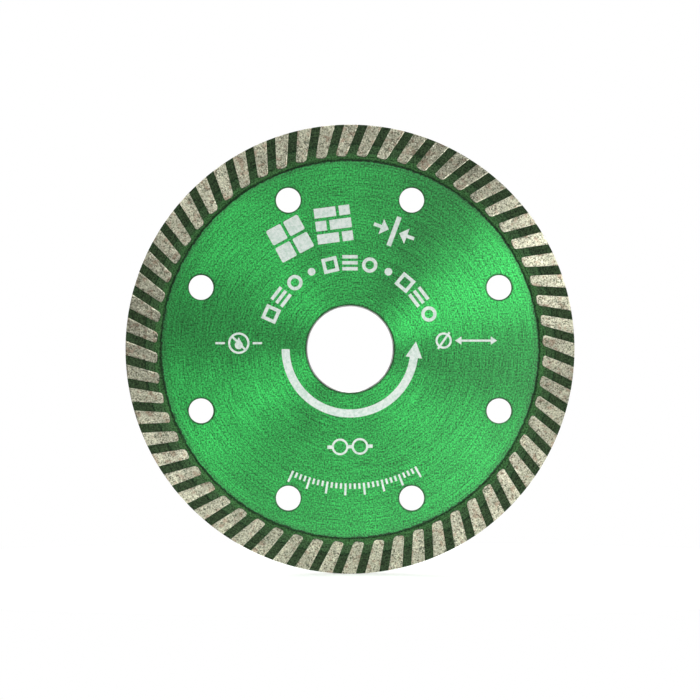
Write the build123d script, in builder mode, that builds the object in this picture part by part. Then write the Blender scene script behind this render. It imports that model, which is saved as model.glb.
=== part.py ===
from build123d import *
import os
from math import cos, hypot, pi, radians, sin

# Continuous-rim turbo diamond blade for a small angle grinder.
# Millimetres. The blade stands upright: its axis is Y, its printed face looks
# along -Y, +Z is up, and the origin is the bore's centre at mid-thickness.

# ---- driving dimensions: the whole blade ----
blade_diameter = 105.0
rim_thickness = 1.0          # over the tops of the ribs, front to back
core_thickness = 0.65
bore_diameter = 20.0
bore_chamfer = 0.08

# ---- cooling holes in the core ----
hole_count = 8
hole_diameter = 5.8
hole_inset = 6.45            # from the rim's foot in to the holes' centres
hole_start_angle = 22.5

# ---- sintered diamond rim ----
rim_depth = 8.35             # radial depth of the rim, with its foot
rib_length = 7.55            # from the cutting edge in to the ribs' ends
web_depth = 4.5              # from the cutting edge in to the step in the grooves
web_thickness = 0.54         # between the outer groove floors, front to back
wrap_land = 0.25             # rim metal between that step and the core's edge
foot_rise = 0.04             # foot above the core's face
rib_count = 60               # on each face
groove_width = 2.0
groove_start_angle = 4.1
rib_slant = 19.5             # degrees from the radius: the outer end trails
rib_corner_radius = 0.85

# ---- lacquer and ink ----
lacquer_thickness = 0.04
lacquer_bore_margin = 0.25   # bare steel left round the bore
ink_thickness = 0.02         # the ink lies flush, in recesses in the lacquer

# ---- rotation arrow ----
arrow_radius = 15.05
arrow_width = 1.9
arrow_start_angle = 180.0
arrow_sweep = 172.5
arrow_head_width = 3.9
arrow_head_length = 3.8

# ---- pictograms, each placed by the radius and angle of its centre ----
symbol_size = 8.4            # the two large pictograms
symbol_radius = 29.4
symbol_gap = 0.75            # bare lacquer between tiles or bricks
floor_tile_angle = 118.5
brick_angle = 97.5
thin_cut_angle = 69.5
thin_cut_height = 7.2
thin_cut_bar = 1.1
thin_cut_head = 1.9
thin_cut_stem = 1.8
caption_count = 11
caption_radius = 20.2
caption_start_angle = 24.0
caption_end_angle = 156.0
caption_size = 3.6
dry_use_radius = 26.0
dry_use_height = 1.4         # its centre stands this far above the bore's centre
dry_use_diameter = 5.0
dry_use_dash = 2.2
diameter_mark_radius = 27.2
diameter_mark_height = 2.0
diameter_mark_length = 14.4
diameter_mark_size = 3.8
goggles_radius = 22.8
goggles_angle = 271.5
goggles_width = 10.6
goggles_lens = 3.9
tick_radius = 32.8
tick_start_angle = 245.0
tick_end_angle = 299.0
tick_count = 29
long_tick = 2.8
short_tick = 1.3
bold_stroke = 0.8
fine_stroke = 0.5            # line widths of the pictograms

# ---- radii and levels that follow ----
blade_radius = blade_diameter / 2
bore_radius = bore_diameter / 2
foot_radius = blade_radius - rim_depth
rib_inner_radius = blade_radius - rib_length
step_radius = blade_radius - web_depth
core_radius = step_radius - wrap_land
hole_ring_radius = foot_radius - hole_inset
lacquer_bore_radius = bore_radius + lacquer_bore_margin
rib_pitch = 360 / rib_count
rib_end_width = 2 * pi * rib_inner_radius / rib_count * cos(radians(rib_slant)) - groove_width
rib_rounding = min(rib_corner_radius, 0.4 * rib_end_width)

core_level = core_thickness / 2
web_level = web_thickness / 2
foot_level = core_level + foot_rise
rib_level = rim_thickness / 2

face_plane = Plane.XZ.offset(core_level)
back_plane = Plane.XZ.offset(-core_level)
ink_plane = face_plane.offset(lacquer_thickness - ink_thickness)


def at(radius, angle):
    """A place on the face whose local y axis points away from the blade's axis."""
    x = radius * cos(radians(angle))
    y = radius * sin(radians(angle))
    return Locations(Location((x, y, 0), (0, 0, angle - 90)))


def pointer(width, length, turned):
    """An arrowhead whose base is centred here, turned this far from the local x axis."""
    return Polygon((0, -width / 2), (length, 0), (0, width / 2), rotation=turned, align=None)


def spread(count, first, last):
    """Evenly spaced angles from first to last."""
    return [first + (last - first) * i / (count - 1) for i in range(count)]


# ---- profiles shared by several pieces ----
def cooling_holes(plane):
    with BuildSketch(plane) as holes:
        with PolarLocations(hole_ring_radius, hole_count, start_angle=hole_start_angle):
            Circle(hole_diameter / 2)
    return holes.sketch


def rib_ring(start_angle):
    """The ribs of one face: a ring cut by slanted grooves, with rounded inner ends."""
    ring_middle = (blade_radius + rib_inner_radius) / 2
    with BuildSketch(Plane.XZ) as ribs:
        Circle(blade_radius)
        Circle(rib_inner_radius, mode=Mode.SUBTRACT)
        with PolarLocations(ring_middle, rib_count, start_angle=start_angle):
            Rectangle(2 * rib_length, groove_width, rotation=-rib_slant, mode=Mode.SUBTRACT)
        inner_corners = [
            corner
            for corner in ribs.vertices()
            if hypot(corner.X, corner.Z) < ring_middle
        ]
        fillet(inner_corners, rib_rounding)
    return ribs.sketch


front_ribs = rib_ring(groove_start_angle)
back_ribs = rib_ring(groove_start_angle + rib_pitch / 2)


# ---- steel core: the bored, drilled disc ----
with BuildPart() as steel_core:
    with BuildSketch(Plane.XZ):
        Circle(core_radius)
        Circle(bore_radius, mode=Mode.SUBTRACT)
    extrude(amount=core_level, both=True)
    bore_edges = [
        edge
        for edge in steel_core.edges().filter_by(GeomType.CIRCLE)
        if edge.radius < bore_radius + bore_chamfer
    ]
    chamfer(bore_edges, bore_chamfer)
    extrude(cooling_holes(Plane.XZ), amount=core_level, both=True, mode=Mode.SUBTRACT)


# ---- diamond rim: sintered in one piece round and over the core's edge ----
with BuildPart() as diamond_rim:
    with BuildSketch(Plane.XY):
        with BuildLine():
            Polyline(
                (foot_radius, -foot_level),
                (step_radius, -foot_level),
                (step_radius, -web_level),
                (blade_radius, -web_level),
                (blade_radius, web_level),
                (step_radius, web_level),
                (step_radius, foot_level),
                (foot_radius, foot_level),
                close=True,
            )
        make_face()
    revolve(axis=Axis.Y)
    extrude(front_ribs, amount=rib_level)
    extrude(back_ribs, amount=-rib_level)
    with BuildSketch(Plane.XZ):
        Circle(core_radius)
    extrude(amount=core_level, both=True, mode=Mode.SUBTRACT)


# ---- printed marks: each is a set of flat shapes on the front lacquer ----
def rotation_arrow():
    with BuildSketch(ink_plane) as mark:
        with BuildLine():
            outer = CenterArc((0, 0), arrow_radius + arrow_width / 2, arrow_start_angle, arrow_sweep)
            inner = CenterArc((0, 0), arrow_radius - arrow_width / 2, arrow_start_angle, arrow_sweep)
            Line(outer @ 0, inner @ 0)
            Line(outer @ 1, inner @ 1)
        make_face()
        with at(arrow_radius, arrow_start_angle + arrow_sweep):
            pointer(arrow_head_width, arrow_head_length, 180)
    return mark.sketch


def floor_tiles():
    tile = (symbol_size - symbol_gap) / 2
    with BuildSketch(ink_plane) as mark:
        with at(symbol_radius, floor_tile_angle):
            with GridLocations(tile + symbol_gap, tile + symbol_gap, 2, 2):
                RectangleRounded(tile, tile, symbol_gap / 2)
    return mark.sketch


def bricks():
    course = (symbol_size - 2 * symbol_gap) / 3
    long_brick = (symbol_size - symbol_gap) * 2 / 3
    short_brick = symbol_size - symbol_gap - long_brick
    with BuildSketch(ink_plane) as mark:
        with at(symbol_radius, brick_angle):
            for row, side in ((-1, 1), (0, -1), (1, 1)):
                height = row * (course + symbol_gap)
                with Locations((side * (long_brick - symbol_size) / 2, height)):
                    Rectangle(long_brick, course)
                with Locations((side * (symbol_size - short_brick) / 2, height)):
                    Rectangle(short_brick, course)
    return mark.sketch


def thin_cut():
    """A thin bar between two arrows that point at it."""
    with BuildSketch(ink_plane) as mark:
        with at(symbol_radius, thin_cut_angle):
            Rectangle(thin_cut_bar, thin_cut_height)
            for side in (-1, 1):
                head_base = thin_cut_bar / 2 + symbol_gap + thin_cut_head
                with Locations((side * head_base, 0)):
                    pointer(2 * thin_cut_head, thin_cut_head, 90 + side * 90)
                with Locations((side * (head_base + thin_cut_stem / 2), 0)):
                    Rectangle(thin_cut_stem, bold_stroke)
    return mark.sketch


def caption():
    """A curved row of plain shapes: square frame, three bars, ring and dot in turn."""
    inside = caption_size - 2 * bold_stroke
    with BuildSketch(ink_plane) as mark:
        for index, angle in enumerate(spread(caption_count, caption_end_angle, caption_start_angle)):
            with at(caption_radius, angle):
                if index % 4 == 0:
                    Rectangle(caption_size, caption_size)
                    Rectangle(inside, inside, mode=Mode.SUBTRACT)
                elif index % 4 == 1:
                    with GridLocations(0, (caption_size - bold_stroke) / 2, 1, 3):
                        Rectangle(caption_size, bold_stroke)
                elif index % 4 == 2:
                    Circle(caption_size / 2)
                    Circle(inside / 2, mode=Mode.SUBTRACT)
                else:
                    Circle(caption_size / 4)
    return mark.sketch


def dry_use():
    """A water drop in a ring, struck through, between two dashes."""
    ring = dry_use_diameter / 2
    drop = ring * 0.38
    with BuildSketch(ink_plane) as mark:
        with Locations((-dry_use_radius, dry_use_height)):
            with GridLocations(dry_use_diameter + dry_use_dash + 2 * symbol_gap, 0, 2, 1):
                Rectangle(dry_use_dash, fine_stroke)
            Circle(ring)
            Circle(ring - fine_stroke, mode=Mode.SUBTRACT)
            with Locations((0, -drop / 2)):
                Circle(drop)
                pointer(2 * drop, 2 * drop, 90)
            Rectangle(dry_use_diameter - fine_stroke, fine_stroke, rotation=-45)
    return mark.sketch


def diameter_mark():
    """A struck circle and a double-headed dimension arrow."""
    ring = diameter_mark_size / 2
    arrow = diameter_mark_length - diameter_mark_size - symbol_gap
    left = diameter_mark_radius - diameter_mark_length / 2
    right = diameter_mark_radius + diameter_mark_length / 2
    head = 3 * fine_stroke
    with BuildSketch(ink_plane) as mark:
        with Locations((left + ring, diameter_mark_height)):
            Circle(ring)
            Circle(ring - fine_stroke, mode=Mode.SUBTRACT)
            Rectangle(diameter_mark_size * 1.25, fine_stroke, rotation=55)
        with Locations((right - arrow / 2, diameter_mark_height)):
            Rectangle(arrow - 2 * head, fine_stroke)
            for side in (-1, 1):
                with Locations((side * (arrow / 2 - head), 0)):
                    pointer(1.3 * head, head, 90 - side * 90)
    return mark.sketch


def goggles():
    """Safety goggles: two round lenses, a bridge and two strap ends."""
    spacing = goggles_lens + symbol_gap
    with BuildSketch(ink_plane) as mark:
        with Locations(Location((0, -goggles_radius, 0), (0, 0, goggles_angle - 270))):
            Rectangle(goggles_width, bold_stroke)
            with GridLocations(spacing, 0, 2, 1):
                Circle(goggles_lens / 2)
            with GridLocations(spacing, 0, 2, 1):
                Circle(goggles_lens / 2 - fine_stroke, mode=Mode.SUBTRACT)
    return mark.sketch


def tick_scale():
    """A curved row of ticks, every fourth one long, all ending on one inner circle."""
    with BuildSketch(ink_plane) as mark:
        for index, angle in enumerate(spread(tick_count, tick_start_angle, tick_end_angle)):
            length = long_tick if index % 4 == 0 else short_tick
            with at(tick_radius + (length - long_tick) / 2, angle):
                Rectangle(fine_stroke, length)
    return mark.sketch


marks = {
    "arrow_print": rotation_arrow(),
    "floor_tile_print": floor_tiles(),
    "brick_print": bricks(),
    "thin_cut_print": thin_cut(),
    "caption_print": caption(),
    "dry_use_print": dry_use(),
    "diameter_print": diameter_mark(),
    "goggles_print": goggles(),
    "tick_scale_print": tick_scale(),
}


# ---- lacquer: a film over the core, the foot, the step and the groove floors ----
def lacquer_section(side):
    """The film's section on one face: side is -1 for the front and 1 for the back."""
    film = lacquer_thickness
    with BuildSketch(Plane.XY) as section:
        with BuildLine():
            Polyline(
                (lacquer_bore_radius, side * core_level),
                (foot_radius, side * core_level),
                (foot_radius, side * foot_level),
                (step_radius, side * foot_level),
                (step_radius, side * web_level),
                (blade_radius, side * web_level),
                (blade_radius, side * (web_level + film)),
                (step_radius + film, side * (web_level + film)),
                (step_radius + film, side * (foot_level + film)),
                (foot_radius - film, side * (foot_level + film)),
                (foot_radius - film, side * (core_level + film)),
                (lacquer_bore_radius, side * (core_level + film)),
                close=True,
            )
        make_face()
    return section.sketch


with BuildPart() as front_lacquer:
    revolve(lacquer_section(-1), axis=Axis.Y)
    extrude(front_ribs, amount=rib_level, mode=Mode.SUBTRACT)
    extrude(cooling_holes(face_plane), amount=lacquer_thickness, mode=Mode.SUBTRACT)
    for mark in marks.values():
        extrude(mark, amount=ink_thickness, mode=Mode.SUBTRACT)

with BuildPart() as back_lacquer:
    revolve(lacquer_section(1), axis=Axis.Y)
    extrude(back_ribs, amount=-rib_level, mode=Mode.SUBTRACT)
    extrude(cooling_holes(back_plane), amount=-lacquer_thickness, mode=Mode.SUBTRACT)


# ---- ink: fills the recesses in the front lacquer, and stops at the cooling holes ----
def ink(mark):
    with BuildPart() as print_layer:
        extrude(mark, amount=ink_thickness)
        extrude(cooling_holes(ink_plane), amount=ink_thickness, mode=Mode.SUBTRACT)
    return print_layer


pieces = {
    "steel_core": steel_core,
    "diamond_rim": diamond_rim,
    "front_lacquer": front_lacquer,
    "back_lacquer": back_lacquer,
}
for name, mark in marks.items():
    pieces[name] = ink(mark)

os.makedirs("parts", exist_ok=True)
for name, piece in pieces.items():
    piece.part.label = name
    export_step(piece.part, f"parts/{name}.step")
    print(f"{name}: {len(piece.part.solids())} solids, {piece.part.volume:.2f} mm3")
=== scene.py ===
# %% [markdown]
# # A turbo diamond blade for tiles
# This lesson dresses a thin dry-cutting blade: a pressed steel disc, a sintered diamond
# rim, a green lacquer film on each face and a white screen print on the front.
# The solid parts come from CAD and stay where they are. Blender's job is the surface:
# paint over brushed steel, ground metal full of diamond grit, and the light that shows it.

import random
from math import cos, hypot, pi, radians, sin, tan

import bmesh
import bpy
from mathutils import Matrix, Vector


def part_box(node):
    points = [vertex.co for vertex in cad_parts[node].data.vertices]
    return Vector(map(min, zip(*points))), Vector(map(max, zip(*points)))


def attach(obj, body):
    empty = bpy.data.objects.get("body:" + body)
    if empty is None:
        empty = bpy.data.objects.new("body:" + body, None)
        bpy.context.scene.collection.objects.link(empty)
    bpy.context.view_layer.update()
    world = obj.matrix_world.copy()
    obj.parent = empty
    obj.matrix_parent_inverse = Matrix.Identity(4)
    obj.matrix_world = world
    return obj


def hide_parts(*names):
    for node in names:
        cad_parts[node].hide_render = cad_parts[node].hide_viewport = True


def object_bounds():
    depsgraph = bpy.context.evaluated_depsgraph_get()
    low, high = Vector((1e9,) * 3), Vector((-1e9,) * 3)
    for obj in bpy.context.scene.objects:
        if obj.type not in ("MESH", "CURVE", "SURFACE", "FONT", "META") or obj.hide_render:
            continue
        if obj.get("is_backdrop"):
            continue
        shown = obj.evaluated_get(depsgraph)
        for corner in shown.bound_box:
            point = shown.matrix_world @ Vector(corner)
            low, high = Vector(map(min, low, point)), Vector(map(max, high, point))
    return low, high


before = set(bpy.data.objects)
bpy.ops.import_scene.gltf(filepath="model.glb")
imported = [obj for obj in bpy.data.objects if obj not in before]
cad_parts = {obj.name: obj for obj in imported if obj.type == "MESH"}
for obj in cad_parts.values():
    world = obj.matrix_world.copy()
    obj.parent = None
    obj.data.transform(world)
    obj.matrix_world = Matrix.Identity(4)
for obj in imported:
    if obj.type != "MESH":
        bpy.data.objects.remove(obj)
cad_low, cad_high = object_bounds()
print("CAD nodes:", ", ".join(sorted(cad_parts)))

# %% [markdown]
# Everything is in metres, so the small sizes of a blade are easier to read with one
# named unit. The outer radius and the levels of the faces are read from the CAD boxes.
# The rim's own layout repeats the CAD's driving sizes.

# %% Sizes that the lesson shares
MM = 0.001
BLADE_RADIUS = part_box("diamond_rim")[1].x
RIB_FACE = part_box("diamond_rim")[1].y
CORE_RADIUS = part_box("steel_core")[1].x
CORE_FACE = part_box("steel_core")[1].y
FOOT_RADIUS = BLADE_RADIUS - 8.35 * MM
STEP_RADIUS = BLADE_RADIUS - 4.5 * MM
FOOT_FACE = CORE_FACE + 0.04 * MM
WEB_FACE = 0.27 * MM
RIB_COUNT = 60
RIB_PITCH = 360 / RIB_COUNT
RIB_LENGTH = 7.55 * MM
RIB_SLANT = 19.5
GROOVE_WIDTH = 2.0 * MM
GROOVE_START = 4.1
RIB_END_RADIUS = BLADE_RADIUS - RIB_LENGTH
RIB_MIDDLE_RADIUS = BLADE_RADIUS - RIB_LENGTH / 2
print(f"blade radius {BLADE_RADIUS / MM:.2f} mm, half thickness {RIB_FACE / MM:.2f} mm")

# %% [markdown]
# ## Helpers for materials
# A material is a small graph of nodes. Building one by hand takes a line for each node
# and each link, so a few short helpers do the typing: one fills a socket with a number
# or a link, and the others add the node kinds that a finish needs most.

# %% Fill a socket, and add a node
def fill(tree, socket, value):
    """Links a socket to another node's output, or types a value into it."""
    if isinstance(value, bpy.types.NodeSocket):
        tree.links.new(value, socket)
    elif value is not None:
        socket.default_value = value


def add(tree, kind, *values, **options):
    """Adds a node, sets its options and fills its inputs in order. Gives its first output."""
    node = tree.nodes.new("ShaderNode" + kind)
    for option, choice in options.items():
        setattr(node, option, choice)
    for socket, value in zip(node.inputs, values):
        fill(tree, socket, value)
    return node.outputs[0]


# %% Arithmetic, noise and mixing
def sums(tree, operation, a, b=None, c=None):
    return add(tree, "Math", a, b, c, operation=operation)


def grade(tree, value, low, high, start=0.0, end=1.0):
    """Maps low..high smoothly onto start..end, and holds the ends outside it."""
    return add(
        tree, "MapRange", value, low, high, start, end, interpolation_type="SMOOTHSTEP"
    )


def noise(tree, point, scale, detail=2.0, roughness=0.5):
    return add(tree, "TexNoise", point, None, scale, detail, roughness)


def blend(tree, share, first, second, kind="MIX"):
    """Mixes two colours."""
    node = tree.nodes.new("ShaderNodeMix")
    node.data_type = "RGBA"
    node.blend_type = kind
    fill(tree, node.inputs[0], share)
    fill(tree, node.inputs[6], first)
    fill(tree, node.inputs[7], second)
    return node.outputs[2]


def paint(red, green, blue):
    """A colour as a paint chart gives it, 0 to 255, made linear for a shader."""
    chart = [channel / 255 for channel in (red, green, blue)]
    linear = [c / 12.92 if c <= 0.04045 else ((c + 0.055) / 1.055) ** 2.4 for c in chart]
    return (*linear, 1.0)


print("helpers ready; mid grey is", round(paint(128, 128, 128)[0], 3))

# %% [markdown]
# Brushing, ring zones and drilled holes all run round the blade's axis, so the finishes
# need polar places. Object coordinates in millimetres give the distance from the axis
# and the direction round it. Noise is not read along the angle itself, which would jump
# where the circle closes. It is read on the direction's sine and cosine instead.

# %% Polar places on the blade
def blade_places(tree):
    """Gives the point, radius and depth in mm, the way outward, and a point for streaks."""
    coordinates = tree.nodes.new("ShaderNodeTexCoord").outputs["Object"]
    point = add(tree, "Mapping", coordinates, None, None, (1000, 1000, 1000))
    flat = add(tree, "VectorMath", point, (1, 0, 1), operation="MULTIPLY")
    length = tree.nodes.new("ShaderNodeVectorMath")
    length.operation = "LENGTH"
    tree.links.new(flat, length.inputs[0])
    radius = length.outputs["Value"]
    outward = add(tree, "VectorMath", flat, operation="NORMALIZE")
    split = tree.nodes.new("ShaderNodeSeparateXYZ")
    tree.links.new(point, split.inputs[0])
    depth = sums(tree, "ABSOLUTE", split.outputs["Y"])
    along = add(tree, "VectorMath", outward, (4, 0, 4), operation="MULTIPLY")
    ring = add(tree, "CombineXYZ", 0.0, sums(tree, "MULTIPLY", radius, 7.0), 0.0)
    streak = add(tree, "VectorMath", along, ring, operation="ADD")
    return {
        "point": point,
        "radius": radius,
        "depth": depth,
        "outward": outward,
        "streak": streak,
        "x": split.outputs["X"],
        "z": split.outputs["Z"],
    }


def new_finish(name):
    """A new material with a shader, ready for its graph."""
    finish = bpy.data.materials.new(name)
    finish.use_nodes = True
    return finish, finish.node_tree, finish.node_tree.nodes["Principled BSDF"]


def roughen(tree, shader, height, distance):
    """Feeds a pattern into the shader's normal. A value of 1 in it stands this far out."""
    bump = tree.nodes.new("ShaderNodeBump")
    bump.inputs["Strength"].default_value = 1.0
    bump.inputs["Distance"].default_value = distance
    fill(tree, bump.inputs["Height"], height)
    tree.links.new(bump.outputs[0], shader.inputs["Normal"])


# %% [markdown]
# ## Green lacquer
# The core is a steel disc brushed in circles, and the lacquer is a thin see-through
# green. Light catches the brushing in a bow tie that turns as the blade turns.
# A flat green could not do that, so the shader is a green metal whose highlight is
# stretched across the brushing, under a clear coat. Over the rough sintered foot and in
# the groove floors the same film looks dull and dark, so the ring zones differ. Two dark
# rings of painted shade stand where the foot begins and where the groove floors step
# down, in place of the shade at these steps. Noise makes the zones' borders waver a little.

# %% Distance from the nearest cooling hole
HOLE_COUNT = 8
HOLE_RING_RADIUS = 37.7
HOLE_RADIUS = 2.9
BORE_FILM_RADIUS = 10.25


def hole_distance(tree, places):
    """How far a place is from the edge of the nearest cooling hole or the bore, in mm."""
    turn = sums(tree, "ARCTAN2", places["z"], places["x"])
    sector = 2 * pi / HOLE_COUNT
    folded = sums(tree, "PINGPONG", turn, sector / 2)
    away = sums(tree, "SUBTRACT", sector / 2, folded)
    along = sums(tree, "MULTIPLY", places["radius"], sums(tree, "COSINE", away))
    across = sums(tree, "MULTIPLY", places["radius"], sums(tree, "SINE", away))
    gap = sums(tree, "SUBTRACT", along, HOLE_RING_RADIUS)
    squares = sums(
        tree, "ADD", sums(tree, "MULTIPLY", gap, gap), sums(tree, "MULTIPLY", across, across)
    )
    from_hole = sums(tree, "SUBTRACT", sums(tree, "SQRT", squares), HOLE_RADIUS)
    from_bore = sums(tree, "SUBTRACT", places["radius"], BORE_FILM_RADIUS)
    return sums(tree, "MINIMUM", from_hole, from_bore)


# %% The lacquer's colour zones
CORE_GREEN = paint(48, 172, 80)
DIM_GREEN = paint(50, 156, 76)
FOOT_GREEN = paint(56, 98, 54)
FLOOR_GREEN = paint(54, 80, 50)
EDGE_GREEN = paint(48, 66, 42)
# Painted shade: this dark green stands in for the shade at the foot's step and the floors' step.
STEP_SHADE_GREEN = paint(20, 46, 24)
RAMP_LENGTH = 55.0
BORDER_WAVER = 0.14


def ring_zones(tree, radius, stops):
    """A colour for each distance from the axis, given as (radius in mm, colour)."""
    node = tree.nodes.new("ShaderNodeValToRGB")
    share = sums(tree, "DIVIDE", radius, RAMP_LENGTH)
    tree.links.new(share, node.inputs[0])
    marks = node.color_ramp.elements
    for place, _ in stops[1:-1]:
        marks.new(place / RAMP_LENGTH)
    for mark, (place, colour) in zip(marks, stops):
        mark.position = place / RAMP_LENGTH
        mark.color = colour
    return node.outputs[0]


# %% Mix the lacquer
GRAIN_DARK, GRAIN_LIGHT = 0.15, 1.95
OPENING_SHADE, OPENING_SHADE_WIDTH = 0.2, 0.6
ROLLED_EDGE_DROP, ROLLED_EDGE_WIDTH = 1.6, 0.45


def green_lacquer(name):
    finish, tree, shader = new_finish(name)
    places = blade_places(tree)
    radius = places["radius"]
    ragged = noise(tree, places["point"], scale=1.4, detail=2.0, roughness=0.6)
    wavering = sums(tree, "ADD", radius, grade(tree, ragged, 0.3, 0.7, -BORDER_WAVER, BORDER_WAVER))
    # The dark rings at 44.05-44.35 mm and 47.85-48.0 mm are painted shade at the two steps.
    zones = ring_zones(tree, wavering, [
        (0.0, CORE_GREEN), (42.4, CORE_GREEN), (43.6, DIM_GREEN), (43.9, DIM_GREEN),
        (44.05, STEP_SHADE_GREEN), (44.35, STEP_SHADE_GREEN), (44.6, FOOT_GREEN), (45.5, FOOT_GREEN),
        (46.0, FLOOR_GREEN), (47.7, FLOOR_GREEN), (47.85, STEP_SHADE_GREEN), (48.0, STEP_SHADE_GREEN),
        (48.2, EDGE_GREEN), (52.5, EDGE_GREEN),
    ])
    on_rim = grade(tree, radius, 43.9, 44.3)
    speckle = noise(tree, places["point"], scale=2.6, detail=2.0, roughness=0.6)
    brushing = noise(tree, places["streak"], scale=1.0, detail=3.0, roughness=0.6)
    cloud = noise(tree, places["point"], scale=0.12, detail=2.0, roughness=0.5)
    grain = sums(tree, "ADD", speckle, sums(tree, "MULTIPLY", brushing, 0.6))
    value = grade(tree, grain, 0.52, 1.08, GRAIN_DARK, GRAIN_LIGHT)
    value = sums(tree, "MULTIPLY", value, grade(tree, cloud, 0.3, 0.7, 0.93, 1.07))
    edge = hole_distance(tree, places)
    shade = grade(tree, edge, 0.05, OPENING_SHADE_WIDTH, OPENING_SHADE, 1.0)
    value = sums(tree, "MULTIPLY", value, shade)
    tint = blend(tree, 1.0, zones, value, "MULTIPLY")
    fill(tree, shader.inputs["Base Color"], tint)
    fill(tree, shader.inputs["Metallic"], grade(tree, on_rim, 0.0, 1.0, 0.92, 0.15))
    zone_rough = grade(tree, on_rim, 0.0, 1.0, 0.32, 0.55)
    rough = sums(tree, "ADD", zone_rough, sums(tree, "MULTIPLY", speckle, 0.12))
    fill(tree, shader.inputs["Roughness"], rough)
    shader.inputs["Anisotropic"].default_value = 0.9
    shader.inputs["Specular IOR Level"].default_value = 0.15
    fill(tree, shader.inputs["Coat Weight"], grade(tree, on_rim, 0.0, 1.0, 0.9, 0.0))
    shader.inputs["Coat Roughness"].default_value = 0.34
    tree.links.new(places["outward"], shader.inputs["Tangent"])
    pits = sums(tree, "MULTIPLY", speckle, grade(tree, on_rim, 0.0, 1.0, 0.35, 1.6))
    rolled = grade(tree, edge, 0.0, ROLLED_EDGE_WIDTH, -ROLLED_EDGE_DROP, 0.0)
    roughen(tree, shader, sums(tree, "ADD", pits, rolled), 0.03 * MM)
    return finish


lacquer = green_lacquer("green_lacquer")
print("lacquer nodes:", len(lacquer.node_tree.nodes))

# %% [markdown]
# ## White ink
# Screen-printed ink is matt and slightly uneven: the mesh leaves it a little thin in
# places, so some green shows through, and a few pinholes stay open.

# %% Mix the ink
INK_THICK = paint(226, 234, 228)
INK_THIN = paint(196, 216, 204)


def white_ink(name):
    finish, tree, shader = new_finish(name)
    places = blade_places(tree)
    mottle = noise(tree, places["point"], scale=1.6, detail=3.0, roughness=0.6)
    pinholes = noise(tree, places["point"], scale=6.5, detail=1.0, roughness=0.5)
    mottled = blend(tree, grade(tree, mottle, 0.35, 0.7), INK_THICK, INK_THIN)
    spotted = blend(tree, grade(tree, pinholes, 0.68, 0.76, 0.0, 0.55), mottled, CORE_GREEN)
    fill(tree, shader.inputs["Base Color"], spotted)
    fill(tree, shader.inputs["Roughness"], grade(tree, mottle, 0.3, 0.7, 0.42, 0.6))
    roughen(tree, shader, pinholes, 0.01 * MM)
    return finish


ink = white_ink("white_ink")

# %% [markdown]
# ## Steel core
# Little bare steel is left in sight: a narrow ring at the bore, and the walls of the
# bore and the cooling holes, where the lacquer's spray has drifted in.

# %% Finish the core
STEEL_DARK = paint(150, 152, 150)
STEEL_LIGHT = paint(190, 192, 188)


def core_steel(name):
    finish, tree, shader = new_finish(name)
    places = blade_places(tree)
    brushing = noise(tree, places["streak"], scale=1.4, detail=3.0, roughness=0.6)
    stain = noise(tree, places["point"], scale=1.1, detail=3.0, roughness=0.6)
    steel = blend(tree, grade(tree, brushing, 0.35, 0.65), STEEL_DARK, STEEL_LIGHT)
    in_holes = grade(tree, places["radius"], 12.0, 14.0)
    drift = sums(tree, "MULTIPLY", in_holes, grade(tree, stain, 0.35, 0.55, 0.35, 1.0))
    fill(tree, shader.inputs["Base Color"], blend(tree, drift, steel, DIM_GREEN))
    fill(tree, shader.inputs["Metallic"], grade(tree, drift, 0.0, 1.0, 1.0, 0.5))
    fill(tree, shader.inputs["Roughness"], grade(tree, brushing, 0.3, 0.7, 0.28, 0.45))
    roughen(tree, shader, brushing, 0.01 * MM)
    return finish


steel = core_steel("core_steel")

# %% Dress the CAD nodes
def dress(node_name, finish):
    """Puts a finish on a CAD node, whose mesh and place stay as they are."""
    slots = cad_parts[node_name].data.materials
    slots.clear()
    slots.append(finish)


dress("steel_core", steel)
dress("front_lacquer", lacquer)
dress("back_lacquer", lacquer)
prints = sorted(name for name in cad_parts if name.endswith("_print"))
for name in prints:
    dress(name, ink)
print(f"dressed the core, two lacquer films and {len(prints)} prints")

# %% [markdown]
# ## Sintered rim
# The rim is metal powder and diamond grit, pressed and sintered in one piece. Its body
# is a ring with a step, and slanted ribs stand on both faces. A real rim is never
# smooth: the ribs' tops are ground, their sides keep the lacquer, and crystals stand
# out. The CAD ring is right in outline but has none of this, so new pieces replace it.

# %% Edit-mode helpers
def start_clean():
    """Leaves edit mode and deselects every object."""
    if bpy.context.object and bpy.context.object.mode != "OBJECT":
        bpy.ops.object.mode_set(mode="OBJECT")
    bpy.ops.object.select_all(action="DESELECT")


def pick(kind, test):
    """In edit mode, selects the vertices, edges or faces that pass a test. Gives the count."""
    shape = bmesh.from_edit_mesh(bpy.context.object.data)
    bpy.ops.mesh.select_all(action="DESELECT")
    bpy.ops.mesh.select_mode(type=kind)
    members = {"VERT": shape.verts, "EDGE": shape.edges, "FACE": shape.faces}[kind]
    chosen = [member for member in members if test(member)]
    for member in chosen:
        member.select_set(True)
    shape.select_flush_mode()
    bmesh.update_edit_mesh(bpy.context.object.data)
    return len(chosen)


def cut(place, direction, **sides):
    """Bisects what is selected, and may clear one side."""
    bpy.ops.mesh.bisect(plane_co=place, plane_no=direction, threshold=0.0001 * MM, **sides)


# %% [markdown]
# The ring's body is a section turned round the axis. A flat sheet is cut along the
# section's lines, the squares outside it are deleted, and the outline is spun.
# The many short steps of the spin leave points for the worn surface later.

# %% Turn the rim's body
SPIN_STEPS = 720


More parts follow.
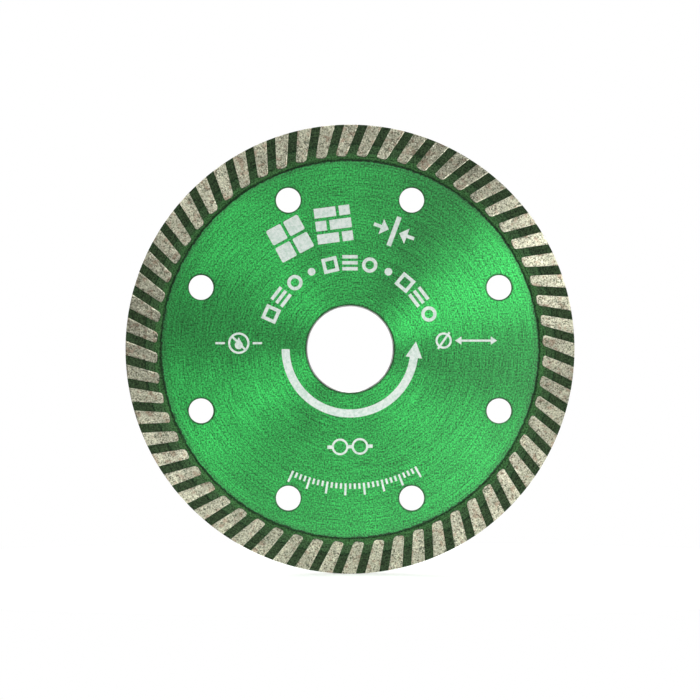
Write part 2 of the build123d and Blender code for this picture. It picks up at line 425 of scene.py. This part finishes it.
def rim_body():
    start_clean()
    middle = (FOOT_RADIUS + BLADE_RADIUS) / 2
    bpy.ops.mesh.primitive_plane_add(size=1, location=(middle, 0, 0))
    ring = bpy.context.object
    ring.name = "rim_body"
    ring.scale = (BLADE_RADIUS - FOOT_RADIUS, 2 * FOOT_FACE, 1)
    bpy.ops.object.transform_apply(location=True, rotation=True, scale=True)
    bpy.ops.object.mode_set(mode="EDIT")
    for radius in (CORE_RADIUS, STEP_RADIUS):
        bpy.ops.mesh.select_all(action="SELECT")
        cut((radius, 0, 0), (1, 0, 0))
    for level in (-CORE_FACE, -WEB_FACE, -WEB_FACE / 2, 0, WEB_FACE / 2, WEB_FACE, CORE_FACE):
        bpy.ops.mesh.select_all(action="SELECT")
        cut((0, level, 0), (0, 1, 0))

    def outside(face):
        x, y, _ = face.calc_center_median()
        in_slot = x < CORE_RADIUS and abs(y) < CORE_FACE
        off_web = x > STEP_RADIUS and abs(y) > WEB_FACE
        return in_slot or off_web

    pick("FACE", outside)
    bpy.ops.mesh.delete(type="FACE")
    pick("EDGE", lambda edge: not edge.is_boundary)
    bpy.ops.mesh.delete(type="EDGE_FACE")
    bpy.ops.mesh.select_all(action="SELECT")
    bpy.ops.mesh.spin(steps=SPIN_STEPS, angle=2 * pi, center=(0, 0, 0), axis=(0, 1, 0))
    bpy.ops.mesh.select_all(action="SELECT")
    bpy.ops.mesh.remove_doubles(threshold=0.001 * MM)
    bpy.ops.mesh.select_all(action="SELECT")
    bpy.ops.mesh.normals_make_consistent(inside=False)
    bpy.ops.object.mode_set(mode="OBJECT")
    return ring


body = rim_body()
print("rim body faces:", len(body.data.polygons))

# %% [markdown]
# One rib is cut out of a round disc with three straight cuts: along the grooves on its
# two sides, and across its inner end, a little off square to the radius. Its outer end
# keeps the disc's own curve. The two inner corners are rounded, the outline is given its
# height, and the upper edge is eased. Last, the top is cut into small squares, so that
# it can be uneven. Easing comes first, because a bevel folds over on very small faces.

# %% Directions round the ring
RIB_TOP = RIB_FACE - 0.025 * MM
RIB_ROOT = WEB_FACE - 0.01 * MM
GRID = 0.42 * MM
# Grid lines on each side of the rib's middle, along it and across it.
GRID_REACH_ALONG, GRID_REACH_ACROSS = 10, 5


def ring_place(radius, degrees):
    return Vector((radius * cos(radians(degrees)), 0, radius * sin(radians(degrees))))


def groove_line(number):
    """A place on a groove's centre line, and the direction across it."""
    angle = GROOVE_START + number * RIB_PITCH
    across = angle - RIB_SLANT + 90
    return ring_place(RIB_MIDDLE_RADIUS, angle), ring_place(1, across)


RIB_ANGLE = GROOVE_START + RIB_PITCH / 2
LEAN = RIB_LENGTH / 2 * tan(radians(RIB_SLANT)) / RIB_END_RADIUS
RIB_END_ANGLE = RIB_ANGLE + LEAN * 180 / pi
RIB_END_TURN = 10
RIB_END_SETBACK = 0.16 * MM
INNER_CORNER_RADIUS = 0.65 * MM
UPPER_EDGE_EASE = 0.07 * MM
RIB_ALONG = ring_place(1, RIB_ANGLE - RIB_SLANT)
RIB_ACROSS = ring_place(1, RIB_ANGLE - RIB_SLANT + 90)

# %% Cut the rib's outline
def rib_outline():
    start_clean()
    bpy.ops.mesh.primitive_circle_add(
        vertices=720, radius=BLADE_RADIUS, fill_type="NGON",
        location=(0, -RIB_ROOT, 0), rotation=(pi / 2, 0, 0),
    )
    rib = bpy.context.object
    bpy.ops.object.transform_apply(location=True, rotation=True, scale=True)
    bpy.ops.object.mode_set(mode="EDIT")
    for number, side in ((0, 1), (1, -1)):
        place, across = groove_line(number)
        bpy.ops.mesh.select_all(action="SELECT")
        cut(place + across * side * GROOVE_WIDTH / 2, across * side, clear_inner=True)
    bpy.ops.mesh.select_all(action="SELECT")
    end = ring_place(RIB_END_RADIUS + RIB_END_SETBACK, RIB_END_ANGLE)
    cut(end, ring_place(1, RIB_END_ANGLE - RIB_END_TURN), clear_inner=True)
    return rib


def round_inner_corners(radius):
    """Rounds the two corners at the inner end. A sharper corner is cut back further."""
    outline = bmesh.from_edit_mesh(bpy.context.object.data).verts
    ends = sorted(outline, key=lambda corner: hypot(corner.co.x, corner.co.z))[:2]
    corners = sorted((end.co.copy() for end in ends), key=lambda place: place.dot(RIB_ACROSS))
    skew = (RIB_SLANT - RIB_END_TURN) / 2
    for corner, half_angle in zip(corners, (45 - skew, 45 + skew)):
        pick("VERT", lambda v: (v.co - corner).length < 0.01 * MM)
        back = radius / tan(radians(half_angle))
        bpy.ops.mesh.bevel(offset=back, segments=6, affect="VERTICES")


rib = rib_outline()
round_inner_corners(INNER_CORNER_RADIUS)
outline_points = len(bmesh.from_edit_mesh(rib.data).verts)
print("points in a rib's outline:", outline_points)

# %% Give the rib its height and its uneven top
def on_top(face):
    return face.normal.y < -0.99 and face.calc_center_median().y < -RIB_ROOT - 0.1 * MM


def raise_rib():
    bpy.ops.mesh.select_all(action="SELECT")
    rise = {"value": (0, RIB_ROOT - RIB_TOP, 0)}
    bpy.ops.mesh.extrude_region_move(TRANSFORM_OT_translate=rise)
    bpy.ops.mesh.select_all(action="SELECT")
    bpy.ops.mesh.normals_make_consistent(inside=False)


def ease_upper_edge(width):
    def upper_edge(edge):
        tops = [on_top(face) for face in edge.link_faces]
        return any(tops) and not all(tops)

    pick("EDGE", upper_edge)
    bpy.ops.mesh.bevel(offset=width, segments=2, affect="EDGES")


def square_top():
    """Cuts the top into small squares, so that wear has points to move."""
    centre = ring_place(RIB_MIDDLE_RADIUS, RIB_ANGLE)
    for direction, reach in ((RIB_ALONG, GRID_REACH_ALONG), (RIB_ACROSS, GRID_REACH_ACROSS)):
        for step in range(-reach, reach + 1):
            pick("FACE", on_top)
            cut(centre + direction * step * GRID, direction)
    bpy.ops.object.mode_set(mode="OBJECT")


raise_rib()
ease_upper_edge(UPPER_EDGE_EASE)
square_top()
print("faces in one rib:", len(rib.data.polygons))

# %% [markdown]
# The back's ribs stand half a pitch on, so each rib there backs a groove on the front.
# One rib is copied sixty times round each face, each copy with its own mesh, and each
# face's ribs are joined.

# %% Set the ribs round both faces
def turned(degrees):
    """The turn that carries the front view's angles on by this many degrees."""
    return Matrix.Rotation(-radians(degrees), 4, "Y")


def copy_of(original, place):
    copied = bpy.data.objects.new(original.name, original.data.copy())
    bpy.context.scene.collection.objects.link(copied)
    copied.matrix_world = place
    return copied


def joined(parts, name):
    """Joins parts into one piece that sits at the origin, with its place in its mesh."""
    start_clean()
    for part in parts:
        part.select_set(True)
    bpy.context.view_layer.objects.active = parts[0]
    bpy.ops.object.join()
    whole = bpy.context.object
    whole.name = name
    bpy.ops.object.transform_apply(location=True, rotation=True, scale=True)
    return whole


back_rib = copy_of(rib, Matrix.Identity(4))
back_rib.data.transform(turned(RIB_PITCH / 2) @ Matrix.Scale(-1, 4, Vector((0, 1, 0))))
back_rib.data.flip_normals()
turns = [turned(number * RIB_PITCH) for number in range(RIB_COUNT)]
front_ribs = joined([copy_of(rib, turn) for turn in turns], "front_ribs")
back_ribs = joined([copy_of(back_rib, turn) for turn in turns], "back_ribs")
bpy.data.objects.remove(rib)
bpy.data.objects.remove(back_rib)
print("faces in the front ribs:", len(front_ribs.data.polygons))

# %% [markdown]
# Grinding and wear leave the metal uneven by a few hundredths of a millimetre.
# A Displace modifier with a cloud texture does that. It only pushes inwards, so the
# blade keeps its size.

# %% Wear the metal
def wear(piece, grain, depth):
    clouds = bpy.data.textures.new(piece.name + "_wear", "CLOUDS")
    clouds.noise_scale = grain
    clouds.noise_depth = 2
    modifier = piece.modifiers.new("wear", "DISPLACE")
    modifier.texture = clouds
    modifier.texture_coords = "LOCAL"
    modifier.strength = depth
    modifier.mid_level = 1.0
    start_clean()
    piece.select_set(True)
    bpy.context.view_layer.objects.active = piece
    bpy.ops.object.modifier_apply(modifier=modifier.name)
    bpy.ops.object.shade_smooth_by_angle(angle=radians(40))


RIB_WEAR_GRAIN, RIB_WEAR_DEPTH = 0.8 * MM, 0.045 * MM
BODY_WEAR_GRAIN, BODY_WEAR_DEPTH = 0.7 * MM, 0.03 * MM
wear(front_ribs, RIB_WEAR_GRAIN, RIB_WEAR_DEPTH)
wear(back_ribs, RIB_WEAR_GRAIN, RIB_WEAR_DEPTH)
wear(body, BODY_WEAR_GRAIN, BODY_WEAR_DEPTH)
print("wear applied to the ribs and the body")

# %% [markdown]
# ## Diamond grit
# Synthetic diamond grows as a cube with its corners cut off. One crystal is a cube with
# bevelled corners, a shape of only fourteen flat sides, because thousands of copies
# follow. Each is turned and sized at random, from one fixed seed. On the ribs it is sunk
# so that only its tip stands out, and on the cutting edge its tip barely shows, if at all.

# %% Cut one crystal
def crystal_shape():
    start_clean()
    bpy.ops.mesh.primitive_cube_add(size=1)
    crystal = bpy.context.object
    bpy.ops.object.mode_set(mode="EDIT")
    bpy.ops.mesh.select_all(action="SELECT")
    bpy.ops.mesh.bevel(offset=0.36, segments=1, affect="VERTICES")
    bpy.ops.object.mode_set(mode="OBJECT")
    return crystal


crystal = crystal_shape()
CORNERS = [corner.co.copy() for corner in crystal.data.vertices]
print("sides of one crystal:", len(crystal.data.polygons))

# %% Sow the crystals on the ribs
GRIT_SMALL, GRIT_LARGE = 0.20 * MM, 0.33 * MM
GRIT_PER_RIB = 24
# Depths and places of the crystals, in mm from the rib's face and from its middle.
RIB_TIP_DEPTH = 0.022
SPOT_INNERMOST, SPOT_OUTERMOST = -3.5, 3.55
SPOT_HALF_WIDTH, SPOT_WIDENING = 1.16, 0.09
chance = random.Random(52)


def tumbled():
    """A crystal's turn and size."""
    turn = Matrix.Rotation(chance.uniform(0, 2 * pi), 3, "X")
    turn = Matrix.Rotation(chance.uniform(0, 2 * pi), 3, "Z") @ turn
    size = chance.uniform(GRIT_SMALL, GRIT_LARGE)
    return turn.to_4x4() @ Matrix.Diagonal((size, size, size, 1))


def sunk_in_rib(shape, place, side):
    """Sinks a crystal so that its highest corner is just inside the blade's face."""
    reach = max((shape @ corner).y * side for corner in CORNERS)
    tip = RIB_FACE - chance.uniform(0.0, RIB_TIP_DEPTH) * MM
    inset = max(0, place.length + GRIT_LARGE / 2 - BLADE_RADIUS)
    spot = place - place.normalized() * inset
    return Matrix.Translation((spot.x, side * (tip - reach), spot.z)) @ shape


def rib_spot(turn):
    """A random place on a rib's top, a little in from its edges."""
    along = chance.uniform(SPOT_INNERMOST, SPOT_OUTERMOST) * MM
    half_width = (SPOT_HALF_WIDTH + SPOT_WIDENING * along / MM) * MM
    across = chance.uniform(-half_width, half_width)
    lean = RIB_ALONG * along + RIB_ACROSS * across
    return turn @ (ring_place(RIB_MIDDLE_RADIUS, RIB_ANGLE) + lean)


def rib_grit(side, start, name):
    grains = []
    for turn in turns:
        for _ in range(GRIT_PER_RIB):
            spot = rib_spot(turned(start) @ turn)
            grains.append(copy_of(crystal, sunk_in_rib(tumbled(), spot, side)))
    return joined(grains, name)


front_grit = rib_grit(-1, 0, "front_grit")
back_grit = rib_grit(1, RIB_PITCH / 2, "back_grit")
print("crystals on the front ribs:", RIB_COUNT * GRIT_PER_RIB)

# %% Sow the crystals on the cutting edge
EDGE_GRIT = 620
# How far the tips stay inside the blade's radius, and the crystals off its middle, in mm.
EDGE_TIP_LEAST, EDGE_TIP_MOST = 0.01, 0.04
EDGE_GRIT_SPREAD = 0.13


def edge_grit(name):
    grains = []
    for _ in range(EDGE_GRIT):
        shape = tumbled()
        angle = chance.uniform(0, 360)
        out = ring_place(1, angle)
        reach = max((shape @ corner).dot(out) for corner in CORNERS)
        radius = BLADE_RADIUS - chance.uniform(EDGE_TIP_LEAST, EDGE_TIP_MOST) * MM - reach
        level = chance.uniform(-EDGE_GRIT_SPREAD, EDGE_GRIT_SPREAD) * MM
        spot = ring_place(radius, angle) + Vector((0, level, 0))
        grains.append(copy_of(crystal, Matrix.Translation(spot) @ shape))
    return joined(grains, name)


cutting_edge_grit = edge_grit("cutting_edge_grit")
bpy.data.objects.remove(crystal)
print("crystals on the cutting edge:", EDGE_GRIT)

# %% [markdown]
# ## Finishes for the rim
# Ground sinter is a warm grey, freckled with dark pores, pale worn crystals and a few
# copper-brown grains. Grinding ran round the blade, as the brushing did, so the bare
# tops shine in a bow tie too. Tops are bare, because grinding took the paint off. Below
# the top the lacquer stays. One mask, the depth from the blade's middle, tells them
# apart, and noise makes its border ragged. The cutting edge is bare too.

# %% Mix the sintered metal
SINTER = paint(186, 186, 162)
SINTER_PALE = paint(228, 227, 204)
SINTER_DARK = paint(78, 74, 56)
SINTER_BROWN = paint(172, 142, 120)
BARE_TOP_FROM, BARE_TOP_FULL = 0.452, 0.472
BARE_EDGE_FROM, BARE_EDGE_FULL = 52.38, 52.44


def sintered_metal(name):
    finish, tree, shader = new_finish(name)
    places = blade_places(tree)
    point = places["point"]
    freckle = noise(tree, point, scale=2.6, detail=3.0, roughness=0.65)
    warm = noise(tree, point, scale=0.9, detail=2.0, roughness=0.5)
    tone = noise(tree, point, scale=0.22, detail=1.0, roughness=0.5)
    pores = noise(tree, point, scale=3.0, detail=1.0, roughness=0.5)
    metal = blend(tree, grade(tree, freckle, 0.46, 0.6), SINTER, SINTER_PALE)
    metal = blend(tree, grade(tree, warm, 0.52, 0.68, 0.0, 0.6), metal, SINTER_BROWN)
    metal = blend(tree, grade(tree, pores, 0.54, 0.68, 0.0, 0.8), metal, SINTER_DARK)
    metal = blend(tree, 1.0, metal, grade(tree, tone, 0.35, 0.65, 0.86, 1.12), "MULTIPLY")
    border = sums(tree, "ADD", places["depth"], sums(tree, "MULTIPLY", freckle, 0.04))
    bare_top = grade(tree, border, BARE_TOP_FROM, BARE_TOP_FULL)
    rim = sums(tree, "ADD", places["radius"], sums(tree, "MULTIPLY", freckle, 0.1))
    bare_edge = grade(tree, rim, BARE_EDGE_FROM, BARE_EDGE_FULL)
    bare = sums(tree, "MAXIMUM", bare_top, bare_edge)
    painted = blend(tree, grade(tree, freckle, 0.4, 0.6), EDGE_GREEN, FLOOR_GREEN)
    fill(tree, shader.inputs["Base Color"], blend(tree, bare, painted, metal))
    fill(tree, shader.inputs["Metallic"], grade(tree, bare, 0.0, 1.0, 0.2, 0.9))
    fill(tree, shader.inputs["Roughness"], grade(tree, freckle, 0.3, 0.7, 0.3, 0.42))
    shader.inputs["Anisotropic"].default_value = 0.9
    tree.links.new(places["outward"], shader.inputs["Tangent"])
    roughen(tree, shader, sums(tree, "SUBTRACT", freckle, pores), 0.02 * MM)
    return finish


sinter = sintered_metal("sintered_metal")

# %% Mix the crystals' finish
CRYSTAL_PALE = paint(226, 226, 196)
CRYSTAL_DARK = paint(150, 150, 110)


def diamond_grit(name):
    finish, tree, shader = new_finish(name)
    places = blade_places(tree)
    tint = noise(tree, places["point"], scale=1.7, detail=1.0, roughness=0.5)
    colour = blend(tree, grade(tree, tint, 0.35, 0.65), CRYSTAL_PALE, CRYSTAL_DARK)
    fill(tree, shader.inputs["Base Color"], colour)
    fill(tree, shader.inputs["Roughness"], grade(tree, tint, 0.3, 0.7, 0.12, 0.3))
    shader.inputs["IOR"].default_value = 2.0
    roughen(tree, shader, noise(tree, places["point"], scale=9.0, detail=1.0), 0.01 * MM)
    return finish


grit = diamond_grit("diamond_grit")

# %% Fit the rim's pieces to the blade
def fit(piece, finish):
    piece.data.materials.clear()
    piece.data.materials.append(finish)
    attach(piece, "root")


def triangles_in(piece):
    return sum(len(face.vertices) - 2 for face in piece.data.polygons)


metal_pieces = [body, front_ribs, back_ribs]
grit_pieces = [front_grit, back_grit, cutting_edge_grit]
for piece in metal_pieces:
    fit(piece, sinter)
for piece in grit_pieces:
    fit(piece, grit)
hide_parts("diamond_rim")
print("triangles in the rim's pieces:", sum(map(triangles_in, metal_pieces + grit_pieces)))

# %% [markdown]
# ## Studio
# The blade stands on a small pale floor in an even white room. Flat light would hide
# the brushing, so the room is white only behind the blade, as the camera sees it, and
# dim where the metal mirrors it. Soft boxes then draw the bow tie: each brightens the
# brushing at its own bearing and opposite to it. The second box is for the pair that
# runs down to the right. It stands at the upper left, because down to the right it
# would be under the floor.

# %% Floor and surroundings
FLOOR_RADIUS = 0.14
FLOOR_WHITE = (0.88, 0.88, 0.88, 1)


def pale_floor():
    start_clean()
    bpy.ops.mesh.primitive_circle_add(
        vertices=128, radius=FLOOR_RADIUS, fill_type="NGON", location=(0, 0, cad_low.z)
    )
    floor = bpy.context.object
    floor.name = "floor"
    finish, _, shader = new_finish("pale_floor")
    shader.inputs["Base Color"].default_value = FLOOR_WHITE
    shader.inputs["Roughness"].default_value = 0.9
    floor.data.materials.append(finish)
    floor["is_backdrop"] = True


def white_room(seen, felt):
    world = bpy.data.worlds.new("white_room")
    bpy.context.scene.world = world
    world.use_nodes = True
    tree = world.node_tree
    rays = tree.nodes.new("ShaderNodeLightPath")
    strength = grade(tree, rays.outputs["Is Camera Ray"], 0.0, 1.0, felt, seen)
    fill(tree, tree.nodes["Background"].inputs["Strength"], strength)
    tree.nodes["Background"].inputs["Color"].default_value = (1, 1, 1, 1)


pale_floor()
white_room(seen=1.0, felt=0.03)

# %% Soft boxes
def soft_box(name, bearing, tilt, distance, size, power):
    """A square light. Bearing is its angle round the blade's face, tilt its angle off the axis."""
    lamp = bpy.data.lights.new(name, "AREA")
    lamp.size = size
    lamp.energy = power
    place = ring_place(distance * sin(radians(tilt)), bearing)
    place.y = -distance * cos(radians(tilt))
    box = bpy.data.objects.new(name, lamp)
    box.location = place
    box.rotation_euler = (-place).to_track_quat("-Z", "Y").to_euler()
    bpy.context.scene.collection.objects.link(box)


def overhead(strength):
    """A soft sun straight from above, which whitens the floor."""
    lamp = bpy.data.lights.new("overhead", "SUN")
    lamp.energy = strength
    lamp.angle = radians(40)
    light = bpy.data.objects.new("overhead", lamp)
    bpy.context.scene.collection.objects.link(light)


soft_box("key", bearing=23, tilt=34, distance=0.4, size=0.12, power=0.36)
soft_box("key_far", bearing=28, tilt=24, distance=1.2, size=0.25, power=1.2)
soft_box("second", bearing=131, tilt=26, distance=1.2, size=0.36, power=1.8)
soft_box("top", bearing=84, tilt=34, distance=0.4, size=0.15, power=0.15)
soft_box("sheen", bearing=335, tilt=22, distance=0.3, size=0.1, power=0.075)
soft_box("back", bearing=140, tilt=150, distance=0.6, size=0.25, power=2.6)
overhead(3.8)

# %% Camera
CAMERA_PLACE = (0, -0.9, -0.0002)
LENS_LENGTH = 197.9


def front_camera():
    """A long lens in front of the blade, which looks along its axis."""
    lens = bpy.data.cameras.new("camera")
    lens.lens = LENS_LENGTH
    lens.clip_start = 0.01
    camera = bpy.data.objects.new("camera", lens)
    camera.location = CAMERA_PLACE
    camera.rotation_euler = (pi / 2, 0, 0)
    bpy.context.scene.collection.objects.link(camera)
    bpy.context.scene.camera = camera


front_camera()
bpy.context.scene.view_settings.view_transform = "Standard"

# %% [markdown]
# The finished model is meant to stay inside the CAD model's box. The two boxes are
# compared here, and the largest growth past the CAD box is printed.

# %% Compare sizes and finish
low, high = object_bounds()
growth = [high[i] - cad_high[i] for i in range(3)] + [cad_low[i] - low[i] for i in range(3)]
print("largest growth, mm:", round(max(growth) / MM, 4))
